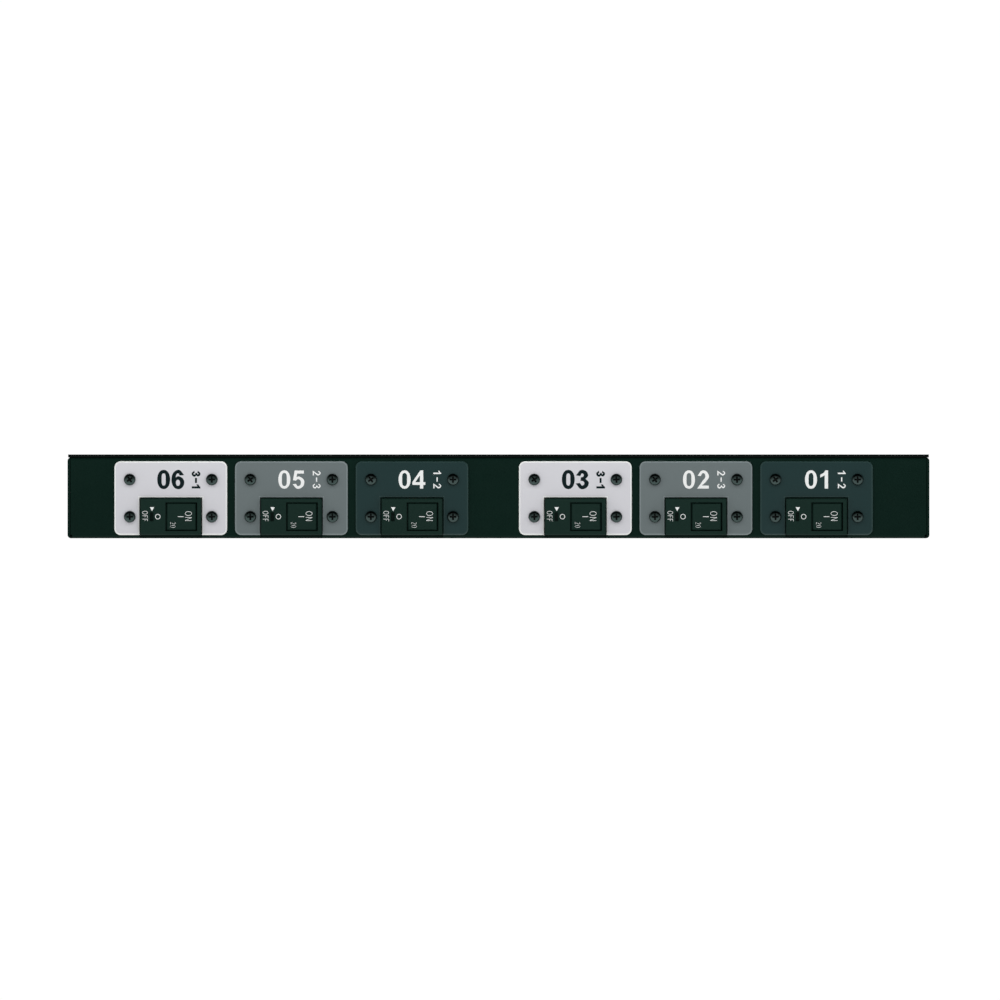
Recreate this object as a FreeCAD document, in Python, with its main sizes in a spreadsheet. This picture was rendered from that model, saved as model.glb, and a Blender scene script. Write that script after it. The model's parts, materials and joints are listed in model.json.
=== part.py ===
import FreeCAD, Part
import math
import os
import re
import Sketcher

# Rack power distribution unit, one rack unit high. A folded steel case holds six two-pole branch
# breakers in its front wall and six outlets and a cable gland in its rear wall, with bus bars between.
# Millimetres. The origin is the middle of the floor's underside, +X is to the right as seen from the
# breakers, -Y points to the viewer and +Z points up.

SIZES = {
    # folded case
    "case_width": 440.0,
    "case_depth": 178.0,
    "case_height": 42.8,
    "sheet_thickness": 1.2,
    "cover_thickness": 1.5,
    "cover_inset": 0.3,
    "bend_radius": 0.6,
    "flange_width": 12.0,
    "seam_gap": 0.3,
    "relief_width": 0.9,
    "relief_depth": 2.0,
    # screws of the cover and holes for the rack ears
    "cover_screw_inset": 20.0,
    "cover_screw_diameter": 3.0,
    "cover_screw_head": 5.6,
    "cover_screw_head_height": 1.0,
    "cover_screw_length": 6.0,
    "ear_hole_diameter": 4.5,
    "ear_hole_spacing": 25.0,
    "ear_hole_rise": 20.6,
    "ear_hole_setback": 24.0,
    # row of breakers
    "breaker_pitch": 61.56,
    "middle_pitch": 83.4,
    "row_offset": -2.46,
    "pole_height": 11.0,
    "pole_pitch": 19.0,
    "pole_gap": 0.1,
    "pole_floor_gap": 0.35,
    "pole_roof_gap": 0.65,
    "pole_length": 54.0,
    "pole_depth": 60.0,
    "shoulder_depth": 49.0,
    "hump_width": 25.0,
    "hump_chamfer": 4.0,
    "pole_edge": 0.5,
    # bezel with the guard over the OFF half
    "bezel_width": 31.0,
    "bezel_height": 18.7,
    "bezel_rise": 3.0,
    "bezel_root": 1.2,
    "bezel_gap": 0.4,
    "bezel_edge": 0.5,
    "bezel_cover": 1.6,
    "notch_depth": 3.4,
    "tool_slot_width": 1.9,
    "tool_slot_height": 4.6,
    "tool_slot_offset": 9.75,
    # rocker and its pin
    "pad_left": 2.1,
    "pad_right": 12.9,
    "pad_height": 13.9,
    "pad_thickness": 3.0,
    "pad_recess": 0.4,
    "pad_gap": 0.6,
    "pad_side_gap": 0.35,
    "pad_edge": 0.5,
    "hub_width": 4.2,
    "pivot_depth": 2.5,
    "lever_length": 12.5,
    "lever_depth": 2.4,
    "lever_thickness": 2.0,
    "lever_clearance": 0.6,
    "swing_angle": 14.0,
    "pin_diameter": 1.6,
    "pin_clearance": 0.05,
    "pin_seat": 1.2,
    # coloured plate and the screws through it
    "plate_width": 57.6,
    "plate_height": 37.7,
    "plate_thickness": 1.0,
    "plate_corner": 3.2,
    "screw_spacing": 41.9,
    "screw_diameter": 3.0,
    "screw_clearance": 0.2,
    "screw_length": 8.0,
    "screw_head_diameter": 6.0,
    "screw_head_height": 2.0,
    "insert_clearance": 0.02,
    # terminals and bus bars
    "tab_offset": 19.0,
    "tab_width": 8.0,
    "tab_length": 12.0,
    "tab_thickness": 1.2,
    "bar_start": 20.0,
    "bar_spacing": 6.0,
    "bar_thickness": 2.0,
    "bar_height": 7.0,
    "lug_thickness": 1.5,
    "lug_lap": 9.0,
    # input terminal block
    "block_setback": 44.0,
    "earth_clearance": 13.3,
    "block_width": 36.0,
    "block_depth": 24.0,
    "block_height": 25.0,
    "block_step": 7.0,
    "block_pitch": 11.5,
    "block_entry_width": 6.5,
    "block_entry_depth": 12.0,
    "block_entry_height": 13.5,
    "clamp_screw_diameter": 4.0,
    "clamp_screw_length": 7.0,
    "clamp_clearance": 0.1,
    "lug_insert": 6.0,
    "lug_clearance": 0.2,
    # outlets
    "outlet_flange_width": 39.0,
    "outlet_flange_height": 32.0,
    "outlet_flange_thickness": 2.0,
    "outlet_flange_corner": 2.0,
    "outlet_body_width": 35.0,
    "outlet_body_height": 28.0,
    "outlet_body_depth": 24.0,
    "outlet_body_clearance": 0.2,
    "outlet_core_width": 28.0,
    "outlet_core_height": 21.0,
    "outlet_core_corner": 2.5,
    "outlet_groove": 2.3,
    "outlet_groove_depth": 18.0,
    "outlet_slot_width": 9.0,
    "outlet_slot_height": 2.6,
    "outlet_pin_spacing": 13.0,
    "outlet_pin_rise": 8.0,
    "contact_width": 7.6,
    "contact_thickness": 0.8,
    "contact_inset": 9.0,
    "contact_tail": 8.0,
    # wires and earth
    "wire_diameter": 4.0,
    "crimp_width": 6.4,
    "crimp_length": 7.0,
    "crimp_height": 3.6,
    "earth_thickness": 1.5,
    "earth_height": 5.0,
    "earth_dip_width": 47.0,
    "earth_foot_length": 13.0,
    "earth_foot_width": 13.0,
    "earth_stud_diameter": 5.0,
    "earth_stud_length": 9.0,
    "earth_stud_clearance": 0.15,
    "earth_nut_flats": 8.0,
    "earth_nut_height": 4.0,
    # cable gland
    "gland_thread": 32.0,
    "gland_clearance": 0.2,
    "gland_flats": 36.0,
    "gland_flange": 8.0,
    "gland_thread_length": 13.0,
    "gland_bore": 25.0,
    "gland_nut_height": 6.0,
    "gland_cap_length": 20.0,
    "gland_seal_outside": 28.0,
    "gland_seal_bore": 23.0,
}

# Places along the row, from breaker 1 at the right to breaker 6 at the left.
ROW = {
    1: "row_offset + middle_pitch / 2 + 2 * breaker_pitch",
    2: "row_offset + middle_pitch / 2 + breaker_pitch",
    3: "row_offset + middle_pitch / 2",
    4: "row_offset - middle_pitch / 2",
    5: "row_offset - middle_pitch / 2 - breaker_pitch",
    6: "row_offset - middle_pitch / 2 - 2 * breaker_pitch",
}
# The phases that feed the lower and the upper pole of each breaker.
PHASES = {1: (1, 2), 2: (2, 3), 3: (3, 1), 4: (1, 2), 5: (2, 3), 6: (3, 1)}

# Levels that several pieces share.
FRONT = "-case_depth / 2"
REAR = "case_depth / 2"
BASE_TOP = "case_height - cover_thickness"
UPPER_POLE = "pole_height + pole_pitch"
MIDDLE = "pole_height + pole_pitch / 2"
POLE_FLOOR = "sheet_thickness + pole_floor_gap"
POLE_ROOF = f"{BASE_TOP} - sheet_thickness - pole_roof_gap"
SHOULDER = "-case_depth / 2 + sheet_thickness + shoulder_depth"
TAB_END = "-case_depth / 2 + sheet_thickness + shoulder_depth + tab_length"
CONTACT_END = "case_depth / 2 - outlet_body_depth - contact_tail"
EARTH_FRONT = f"{CONTACT_END} - earth_thickness - earth_foot_length"
# The terminal block stands halfway between its places as set from the breakers and from the earth strip.
BLOCK_FRONT = f"({SHOULDER} + block_setback + {EARTH_FRONT} - earth_clearance - block_depth) / 2"
OPENING_HEIGHT = "pad_height + 2 * pad_side_gap"
# Levels in a breaker's own frame, whose zero is the outside of the front wall.
BEZEL_FACE = "-bezel_rise"
COVER_BACK = "bezel_cover - bezel_rise"
PIVOT = "pivot_depth - bezel_rise"
NOTCH_TOP = "pole_height + bezel_height / 2 + bezel_gap"
# Clearance holes for the screws.
SCREW_HOLE = "screw_diameter + 2 * screw_clearance"
COVER_HOLE = "cover_screw_diameter + 2 * screw_clearance"
# Sides of the prisms that stand for small round pieces and for a thread.
HEAD_SIDES = 10
COVER_HEAD_SIDES = 12
SHANK_SIDES = 6
PIN_SIDES = 12
STUD_SIDES = 8
WIRE_SIDES = 6
THREAD_SIDES = 24

SAME_PLACE = 1e-4
X, Y, Z = 0, 1, 2

doc = FreeCAD.newDocument("rack_power_distribution_unit")
sheet = doc.addObject("Spreadsheet::Sheet", "Sizes")
for row, (size_name, size) in enumerate(SIZES.items(), 1):
    sheet.set(f"A{row}", size_name)
    sheet.set(f"B{row}", str(size))
    sheet.setAlias(f"B{row}", size_name)
doc.recompute()
nodes = []


def tied(text):
    """The expression with each size written as its cell of the sheet."""
    return re.sub("[a-z_]+", lambda word: "Sizes." * (word.group() in SIZES) + word.group(), text)


def number(text):
    """The present value of an expression."""
    return float(sheet.evalExpression(tied(text)))


def node(item, label):
    """Names a finished sub-part and keeps it for writing."""
    item.Label = label
    nodes.append(item)
    return item


def place(item, x="0", y="0", z="0"):
    """Ties the item's place to the sheet."""
    for letter, text in zip("xyz", (x, y, z)):
        item.setExpression(f"Placement.Base.{letter}", tied(text))


def sketch_on(body, role, level="0"):
    """A sketch on one of the body's own planes, moved along that plane's normal."""
    sketch = body.newObject("Sketcher::SketchObject", "sketch")
    plane = next(item for item in body.Origin.OriginFeatures if item.Role == role)
    sketch.AttachmentSupport = [(plane, "")]
    sketch.MapMode = "FlatFace"
    sketch.setExpression("AttachmentOffset.Base.z", tied(level))
    return sketch


def tie(sketch, kind, geometry, point, text):
    """Sets one coordinate of a point in a sketch from the sheet."""
    index = sketch.addConstraint(Sketcher.Constraint(kind, -1, 1, geometry, point, number(text)))
    sketch.setExpression(f"Constraints[{index}]", tied(text))


def outline(sketch, corners):
    """A closed outline of straight edges through corners tied to the sheet."""
    first = sketch.GeometryCount
    points = [FreeCAD.Vector(number(x), number(y), 0) for x, y in corners]
    following = points[1:] + points[:1]
    sketch.addGeometry([Part.LineSegment(a, b) for a, b in zip(points, following)], False)
    count = len(corners)
    for i, (x, y) in enumerate(corners):
        after = first + (i + 1) % count
        sketch.addConstraint(Sketcher.Constraint("Coincident", first + i, 2, after, 1))
        tie(sketch, "DistanceX", first + i, 1, x)
        tie(sketch, "DistanceY", first + i, 1, y)


def rectangle(sketch, left, right, low, high):
    outline(sketch, [(left, low), (right, low), (right, high), (left, high)])


def centred(sketch, x, y, width, height):
    """A rectangle given by its middle."""
    half, rise = f"({width}) / 2", f"({height}) / 2"
    rectangle(sketch, f"{x} - {half}", f"{x} + {half}", f"{y} - {rise}", f"{y} + {rise}")


def circle(sketch, x, y, diameter):
    centre = FreeCAD.Vector(number(x), number(y), 0)
    radius = number(f"({diameter}) / 2")
    ring = sketch.addGeometry(Part.Circle(centre, FreeCAD.Vector(0, 0, 1), radius), False)
    tie(sketch, "DistanceX", ring, 3, x)
    tie(sketch, "DistanceY", ring, 3, y)
    index = sketch.addConstraint(Sketcher.Constraint("Diameter", ring, 2 * radius))
    sketch.setExpression(f"Constraints[{index}]", tied(diameter))


def prism_outline(sides, diameter):
    """A flat regular outline for small pieces that repeat, with its corners on a circle."""
    turn = 2 * math.pi / sides
    radius = number(f"({diameter}) / 2")
    corners = [
        FreeCAD.Vector(radius * math.cos(i * turn), radius * math.sin(i * turn), 0) for i in range(sides + 1)
    ]
    return Part.Face(Part.makePolygon(corners))


def prism(sides, diameter, length):
    """An upright prism on such an outline."""
    return prism_outline(sides, diameter).extrude(FreeCAD.Vector(0, 0, number(length)))


def extrude(kind, body, sketch, length, both_ways, turned):
    """A pad or pocket of the sketch, checked to change the body's volume the right way."""
    before = body.Shape.Volume if body.Tip else 0.0
    feature = body.newObject(f"PartDesign::{kind}", kind.lower())
    feature.Profile = sketch
    feature.setExpression("Length", tied(length))
    feature.SideType = "Symmetric" if both_ways else "One side"
    feature.Reversed = turned
    doc.recompute()
    change = body.Shape.Volume - before
    if change * (1 if kind == "Pad" else -1) <= 0:
        raise ValueError(f"{kind} on {body.Label} changed nothing")
    return feature


def pad(body, sketch, length, both_ways=False, turned=False):
    return extrude("Pad", body, sketch, length, both_ways, turned)


def pocket(body, sketch, length, both_ways=False, turned=False):
    return extrude("Pocket", body, sketch, length, both_ways, turned)


def edges_along(shape, axis, places, shortest=0.0):
    """Names of the straight edges along an axis, at the given places in the other two axes."""
    others = [k for k in range(3) if k != axis]
    spots = [[number(text) for text in spot] for spot in places]
    names = []
    for index, edge in enumerate(shape.Edges, 1):
        ends = [vertex.Point for vertex in edge.Vertexes]
        if len(ends) != 2 or edge.Length < shortest:
            continue
        for spot in spots:
            misses = [abs(end[k] - value) for end in ends for k, value in zip(others, spot)]
            if max(misses) < SAME_PLACE:
                names.append(f"Edge{index}")
                break
    return names


def soften(kind, body, edge_names, size_name, size_text):
    """A fillet or chamfer on named edges of the body's last feature."""
    feature = body.newObject(f"PartDesign::{kind}", kind.lower())
    feature.Base = (feature.BaseFeature, edge_names)
    feature.setExpression(size_name, tied(size_text))
    doc.recompute()
    return feature


def fillet(body, edge_names, radius):
    return soften("Fillet", body, edge_names, "Radius", radius)


def chamfer(body, edge_names, size):
    return soften("Chamfer", body, edge_names, "Size", size)


def new_body(label):
    return node(doc.addObject("PartDesign::Body", label), label)


def group(label, shape, places):
    """One node of separate like solids, each a copy of one shape."""
    copies = [shape.translated(FreeCAD.Vector(*(number(text) for text in spot))) for spot in places]
    item = doc.addObject("Part::Feature", label)
    item.Shape = Part.makeCompound(copies)
    return node(item, label)


def mirrored(corners):
    """The same corners on the other side of the middle, in reverse order."""
    return [(f"-({x})", y) for x, y in reversed(corners)]


def chassis_base():
    """The folded tray: floor and four walls, each with a flange turned inwards under the cover."""
    body = new_body("chassis_base")
    half = "case_width / 2"
    wall = "case_width / 2 - sheet_thickness"
    lip = "case_width / 2 - flange_width"
    under = "case_height - cover_thickness - sheet_thickness"
    side = [(half, "0"), (half, BASE_TOP), (lip, BASE_TOP), (lip, under), (wall, under)]
    side.append((wall, "sheet_thickness"))
    section = sketch_on(body, "XZ_Plane")
    outline(section, side + mirrored(side))
    folded = pad(body, section, "case_depth", both_ways=True)

    outer = [(x, z) for x in (half, f"-({half})") for z in ("0", BASE_TOP)]
    inner = [(x, z) for x in (wall, f"-({wall})") for z in ("sheet_thickness", under)]
    bent = fillet(body, edges_along(folded.Shape, Y, outer), "bend_radius + sheet_thickness")
    fillet(body, edges_along(bent.Shape, Y, inner), "bend_radius")

    corners = sketch_on(body, "XY_Plane", BASE_TOP)
    flange_end = "case_depth / 2 - flange_width"
    for left, right in ((lip, wall), (f"-({wall})", f"-({lip})")):
        rectangle(corners, left, right, f"{flange_end} - seam_gap", "case_depth / 2 + seam_gap")
        rectangle(corners, left, right, "-case_depth / 2 - seam_gap", f"seam_gap - ({flange_end})")
    pocket(body, corners, "sheet_thickness + bend_radius")

    reach = "case_width / 2 - sheet_thickness - seam_gap"
    for level, turned in (("case_depth / 2", True), ("-case_depth / 2", False)):
        end_wall = sketch_on(body, "XZ_Plane", level)
        rectangle(end_wall, f"-({reach})", reach, "0", BASE_TOP)
        pad(body, end_wall, "sheet_thickness", turned=turned)
    flanges = sketch_on(body, "XY_Plane", BASE_TOP)
    rectangle(flanges, f"-({reach})", reach, FRONT, f"-({flange_end})")
    rectangle(flanges, f"-({reach})", reach, flange_end, REAR)
    pad(body, flanges, "sheet_thickness", turned=True)

    reliefs = sketch_on(body, "XY_Plane")
    inside = "case_width / 2 - sheet_thickness - seam_gap - relief_width"
    for left, right in ((inside, wall), (f"-({wall})", f"-({inside})")):
        rectangle(reliefs, left, right, "case_depth / 2 - relief_depth", "case_depth / 2 + relief_depth")
        rectangle(reliefs, left, right, "-case_depth / 2 - relief_depth", "relief_depth - case_depth / 2")
    relieved = pocket(body, reliefs, "sheet_thickness + bend_radius", turned=True)

    long_edge = number("case_width / 2")
    folds = [(y, z) for y in (FRONT, REAR) for z in ("0", BASE_TOP)]
    rounded = fillet(body, edges_along(relieved.Shape, X, folds, long_edge), "bend_radius + sheet_thickness")
    faces = ("sheet_thickness - case_depth / 2", "case_depth / 2 - sheet_thickness")
    creases = [(y, z) for y in faces for z in ("sheet_thickness", under)]
    fillet(body, edges_along(rounded.Shape, X, creases, long_edge), "bend_radius")

    notches = sketch_on(body, "XZ_Plane", "case_depth / 2")
    for x in ROW.values():
        opening = "bezel_width / 2 + bezel_gap"
        rectangle(notches, f"{x} - ({opening})", f"{x} + {opening}", "-sheet_thickness", NOTCH_TOP)
    pocket(body, notches, "notch_depth")

    slots = sketch_on(body, "XZ_Plane", "case_depth / 2")
    for x in ROW.values():
        for sign in "-+":
            across = f"{x} {sign} screw_spacing / 2"
            centred(slots, across, MIDDLE, SCREW_HOLE, f"pole_pitch + {SCREW_HOLE}")
    pocket(body, slots, "sheet_thickness")

    rear = sketch_on(body, "XZ_Plane", "-case_depth / 2")
    for x in ROW.values():
        width = "outlet_body_width + 2 * outlet_body_clearance"
        centred(rear, x, MIDDLE, width, "outlet_body_height + 2 * outlet_body_clearance")
    circle(rear, "row_offset", MIDDLE, "gland_thread + 2 * gland_clearance")
    pocket(body, rear, "sheet_thickness", turned=True)

    ears = sketch_on(body, "YZ_Plane")
    for sign in "-+":
        y = f"ear_hole_setback - case_depth / 2 {sign} ear_hole_spacing / 2"
        circle(ears, y, "ear_hole_rise", "ear_hole_diameter")
    pocket(body, ears, "case_width", both_ways=True)

    fixings = sketch_on(body, "XY_Plane", BASE_TOP)
    for x, y in cover_screw_places():
        centred(fixings, x, y, COVER_HOLE, COVER_HOLE)
    pocket(body, fixings, "sheet_thickness")


def cover_screw_places():
    across = "(case_width / 2 - flange_width / 2)"
    along = "(case_depth / 2 - cover_screw_inset)"
    return [(f"{i}{across}", f"{j}{along}") for i in ("-", "") for j in ("-", "")]


def top_cover():
    """A flat sheet on the flanges, with a shallow seat for each of its four screws."""
    body = new_body("top_cover")
    sheet_outline = sketch_on(body, "XY_Plane", BASE_TOP)
    centred(sheet_outline, "0", "0", "case_width - 2 * cover_inset", "case_depth - 2 * cover_inset")
    pad(body, sheet_outline, "cover_thickness")
    seats = sketch_on(body, "XY_Plane", "case_height")
    holes = sketch_on(body, "XY_Plane", "case_height")
    for x, y in cover_screw_places():
        seat = "cover_screw_head + 2 * screw_clearance"
        outline(seats, [(f"{x} + {i}", f"{y} + {j}") for i, j in regular_corners(COVER_HEAD_SIDES, seat)])
        centred(holes, x, y, COVER_HOLE, COVER_HOLE)
    pocket(body, seats, "cover_screw_head_height")
    pocket(body, holes, "cover_thickness")


def cover_screws():
    """Four low-head screws, flush with the cover."""
    head = prism(COVER_HEAD_SIDES, "cover_screw_head", "cover_screw_head_height")
    shank = prism(SHANK_SIDES, "cover_screw_diameter", "cover_screw_length")
    shank.translate(FreeCAD.Vector(0, 0, -number("cover_screw_length")))
    seat = "case_height - cover_screw_head_height"
    group("cover_screws", head.fuse(shank), [(x, y, seat) for x, y in cover_screw_places()])


def pole_case(body, height, low, high):
    """The moulded case of one pole: a block with terminal shoulders at its back and pockets for inserts."""
    front, shoulder = "sheet_thickness", "sheet_thickness + shoulder_depth"
    back = "sheet_thickness + pole_depth"
    end, hump = "pole_length / 2", "hump_width / 2"
    half = [(end, front), (end, shoulder), (hump, shoulder), (hump, back)]
    plan = sketch_on(body, "XY_Plane", low)
    outline(plan, half + mirrored(half))
    block = pad(body, plan, f"{high} - ({low})")
    corners = [(f"{sign}hump_width / 2", back) for sign in ("", "-")]
    shaped = chamfer(body, edges_along(block.Shape, Z, corners), "hump_chamfer")
    rims = [(front, low), (front, high)]
    chamfer(body, edges_along(shaped.Shape, X, rims), "pole_edge")
    inserts = sketch_on(body, "XZ_Plane", "-sheet_thickness")
    side = "screw_diameter + 2 * insert_clearance"
    for sign in ("", "-"):
        centred(inserts, f"{sign}screw_spacing / 2", height, side, side)
    pocket(body, inserts, "screw_length - plate_thickness - sheet_thickness")


def rocker_pole(number_in_row):
    """The lower pole, with the bezel that reaches through the front wall and guards the OFF half."""
    body = new_body(f"breaker_{number_in_row}_rocker_pole")
    pole_case(body, "pole_height", POLE_FLOOR, f"{MIDDLE} - pole_gap / 2")
    bezel = sketch_on(body, "XY_Plane", "pole_height")
    rectangle(bezel, "-bezel_width / 2", "bezel_width / 2", BEZEL_FACE, "sheet_thickness + bezel_root")
    raised = pad(body, bezel, "bezel_height", both_ways=True)
    upright = [(f"{sign}bezel_width / 2", BEZEL_FACE) for sign in ("", "-")]
    level = [(BEZEL_FACE, f"pole_height {sign} bezel_height / 2") for sign in "+-"]
    rim = edges_along(raised.Shape, Z, upright) + edges_along(raised.Shape, X, level)
    chamfer(body, rim, "bezel_edge")

    hollow = sketch_on(body, "XY_Plane", "pole_height")
    left, right = "-pad_left - pad_gap", "pad_right + pad_gap"
    inner = "-lever_length - lever_clearance"
    lever_drop = "lever_depth + lever_thickness - pivot_depth"
    swung = f"lever_length * sin(swing_angle) + ({lever_drop}) * cos(swing_angle)"
    floor = f"{PIVOT} + {swung} + lever_clearance"
    ahead = f"{BEZEL_FACE} - bezel_cover"
    under_guard = [(inner, floor), (inner, COVER_BACK), (left, COVER_BACK)]
    outline(hollow, [(left, ahead), (right, ahead), (right, floor)] + under_guard)
    pocket(body, hollow, OPENING_HEIGHT, both_ways=True)

    seats = sketch_on(body, "XY_Plane", "pole_height")
    side = "pin_diameter + 2 * insert_clearance"
    centred(seats, "0", PIVOT, side, side)
    pocket(body, seats, f"{OPENING_HEIGHT} + 2 * pin_seat", both_ways=True)

    tool_slot = sketch_on(body, "XZ_Plane", "bezel_rise")
    centred(tool_slot, "-tool_slot_offset", "pole_height", "tool_slot_width", "tool_slot_height")
    pocket(body, tool_slot, "bezel_cover")
    place(body, ROW[number_in_row], FRONT)


def blank_pole(number_in_row):
    """The upper pole, which has no rocker of its own and lies behind the plate."""
    body = new_body(f"breaker_{number_in_row}_blank_pole")
    pole_case(body, UPPER_POLE, f"{MIDDLE} + pole_gap / 2", POLE_ROOF)
    place(body, ROW[number_in_row], FRONT)


def rocker(number_in_row):
    """The ON pad, the hub round the pin and the lever under the guard, moulded as one."""
    body = new_body(f"rocker_{number_in_row}")
    face = f"{BEZEL_FACE} + pad_recess"
    front = sketch_on(body, "XY_Plane", "pole_height")
    rectangle(front, "-pad_left", "pad_right", face, f"{face} + pad_thickness")
    pressed = pad(body, front, "pad_height", both_ways=True)
    upright = [(x, face) for x in ("-pad_left", "pad_right")]
    level = [(face, f"pole_height {sign} pad_height / 2") for sign in "+-"]
    rim = edges_along(pressed.Shape, Z, upright) + edges_along(pressed.Shape, X, level)
    chamfer(body, rim, "pad_edge")
    lever = sketch_on(body, "XY_Plane", "pole_height")
    top = f"{BEZEL_FACE} + lever_depth"
    under = f"{top} + lever_thickness"
    rectangle(lever, "-lever_length", "hub_width / 2", top, under)
    pad(body, lever, "pad_height", both_ways=True)
    bore = sketch_on(body, "XY_Plane", "pole_height")
    circle(bore, "0", PIVOT, "pin_diameter + 2 * pin_clearance")
    pocket(body, bore, "pad_height", both_ways=True)
    place(body, ROW[number_in_row], FRONT)


def rocker_pins():
    """Six pins, each held in the top and bottom rims of a bezel."""
    pin = prism(PIN_SIDES, "pin_diameter", f"{OPENING_HEIGHT} + 2 * pin_seat")
    low = f"pole_height - ({OPENING_HEIGHT}) / 2 - pin_seat"
    group("rocker_pins", pin, [(x, f"{FRONT} + {PIVOT}", low) for x in ROW.values()])


def branch_plate(number_in_row):
    """The coloured plate round one breaker, open at the bottom for the bezel."""
    body = new_body(f"branch_plate_{number_in_row}")
    low, high = f"{MIDDLE} - plate_height / 2", f"{MIDDLE} + plate_height / 2"
    edge, leg = "plate_width / 2", "bezel_width / 2 + bezel_gap"
    half = [(leg, low), (edge, low), (edge, high)]
    face = sketch_on(body, "XZ_Plane")
    top_and_sides = half + mirrored(half)
    outline(face, [(leg, NOTCH_TOP)] + top_and_sides + [(f"-({leg})", NOTCH_TOP)])
    flat = pad(body, face, "plate_thickness")
    corners = [(f"{sign}plate_width / 2", z) for sign in ("", "-") for z in (low, high)]
    fillet(body, edges_along(flat.Shape, Y, corners), "plate_corner")
    holes = sketch_on(body, "XZ_Plane", "plate_thickness")
    for sign in ("", "-"):
        for height in ("pole_height", UPPER_POLE):
            centred(holes, f"{sign}screw_spacing / 2", height, SCREW_HOLE, SCREW_HOLE)
    pocket(body, holes, "plate_thickness")
    place(body, ROW[number_in_row], FRONT)


def breaker_screws():
    """Twenty-four pan-head screws through plate and front wall into the poles."""
    head = prism(HEAD_SIDES, "screw_head_diameter", "screw_head_height")
    shank = prism(SHANK_SIDES, "screw_diameter", "screw_length")
    shank.translate(FreeCAD.Vector(0, 0, -number("screw_length")))
    screw = head.fuse(shank)
    screw.rotate(FreeCAD.Vector(0, 0, 0), FreeCAD.Vector(1, 0, 0), 90)
    seat = f"{FRONT} - plate_thickness"
    places = [
        (f"{x} {sign} screw_spacing / 2", seat, height)
        for x in ROW.values()
        for sign in "-+"
        for height in ("pole_height", UPPER_POLE)
    ]
    group("breaker_screws", screw, places)


def terminal_tabs():
    """Flat tabs at the poles' shoulders: line tabs to the right, load tabs to the left."""
    tab = Part.makeBox(number("tab_width"), number("tab_length"), number("tab_thickness"))
    for label, sign in (("line_tabs", "+"), ("load_tabs", "-")):
        places = [
            (f"{x} {sign} tab_offset - tab_width / 2", SHOULDER, f"{height} - tab_thickness / 2")
            for x in ROW.values()
            for height in ("pole_height", UPPER_POLE)
        ]
        group(label, tab, places)


def bus_bar(phase):
    """One phase's bar, with a lug to each pole that it feeds and one to the terminal block."""
    body = new_body(f"bus_bar_l{phase}")
    front = f"{SHOULDER} + bar_start + {phase - 1} * bar_spacing"
    back = f"{front} + bar_thickness"
    fed = [(n, level) for n, phases in PHASES.items() for level in (0, 1) if phases[level] == phase]
    low_lug = "pole_height + tab_thickness / 2"
    high_lug = f"{UPPER_POLE} - tab_thickness / 2"
    lug_x = {n: f"{ROW[n]} + tab_offset" for n, level in fed}
    input_x = f"row_offset + {phase - 2} * block_pitch"

    strip = sketch_on(body, "XZ_Plane", f"-({back})")
    last = max(lug_x, key=lambda n: number(lug_x[n]))
    first = min(lug_x, key=lambda n: number(lug_x[n]))
    left, right = f"{lug_x[first]} - tab_width / 2", f"{lug_x[last]} + tab_width / 2"
    rectangle(strip, left, right, f"{MIDDLE} - bar_height / 2", f"{MIDDLE} + bar_height / 2")
    pad(body, strip, "bar_thickness")

    risers = sketch_on(body, "XZ_Plane", f"-({back})")
    for n, level in fed:
        low, high = (low_lug, MIDDLE) if level == 0 else (MIDDLE, high_lug)
        rectangle(risers, f"{lug_x[n]} - tab_width / 2", f"{lug_x[n]} + tab_width / 2", low, high)
    rectangle(risers, f"{input_x} - tab_width / 2", f"{input_x} + tab_width / 2", low_lug, MIDDLE)
    pad(body, risers, "bar_thickness")

    lap = f"{TAB_END} - lug_lap"
    for level, height in ((0, low_lug), (1, f"{high_lug} - lug_thickness")):
        lugs = sketch_on(body, "XY_Plane", height)
        for n, fed_level in fed:
            if fed_level == level:
                rectangle(lugs, f"{lug_x[n]} - tab_width / 2", f"{lug_x[n]} + tab_width / 2", lap, back)
        if level == 0:
            inside = f"{BLOCK_FRONT} + lug_insert"
            rectangle(lugs, f"{input_x} - tab_width / 2", f"{input_x} + tab_width / 2", front, inside)
        pad(body, lugs, "lug_thickness")


def terminal_block():
    """The three-way input block: bar lugs enter at its front, conductors at its back, screws from above."""
    body = new_body("input_terminal_block")
    front = BLOCK_FRONT
    back = f"{front} + block_depth"
    foot, top = "sheet_thickness", "sheet_thickness + block_height"
    side = sketch_on(body, "YZ_Plane", "row_offset")
    step = [(front, foot), (back, foot), (back, f"{top} - block_step"), (f"{back} - block_step", top)]
    outline(side, step + [(f"{front} + block_step", top), (front, f"{top} - block_step")])
    pad(body, side, "block_width", both_ways=True)

    ways = [f"row_offset + {i} * block_pitch" for i in (-1, 0, 1)]
    lug_slots = sketch_on(body, "XZ_Plane", f"-({front})")
    middle = "pole_height + tab_thickness / 2 + lug_thickness / 2"
    for x in ways:
        centred(lug_slots, x, middle, "tab_width + 2 * lug_clearance", "lug_thickness + 2 * lug_clearance")
    pocket(body, lug_slots, "lug_insert + lug_clearance")

    entries = sketch_on(body, "XZ_Plane", f"-({back})")
    for x in ways:
        centred(entries, x, "block_entry_height", "block_entry_width", "block_entry_width")
    pocket(body, entries, "block_entry_depth", turned=True)

    wells = sketch_on(body, "XY_Plane", top)
    well = "clamp_screw_diameter + 2 * clamp_clearance"
    for x in ways:
        centred(wells, x, f"{front} + block_depth / 2", well, well)
    pocket(body, wells, "clamp_screw_length")

    screw = prism(STUD_SIDES, "clamp_screw_diameter", "clamp_screw_length")
    places = [(x, f"{front} + block_depth / 2", f"{top} - clamp_screw_length") for x in ways]
    group("clamp_screws", screw, places)


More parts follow.
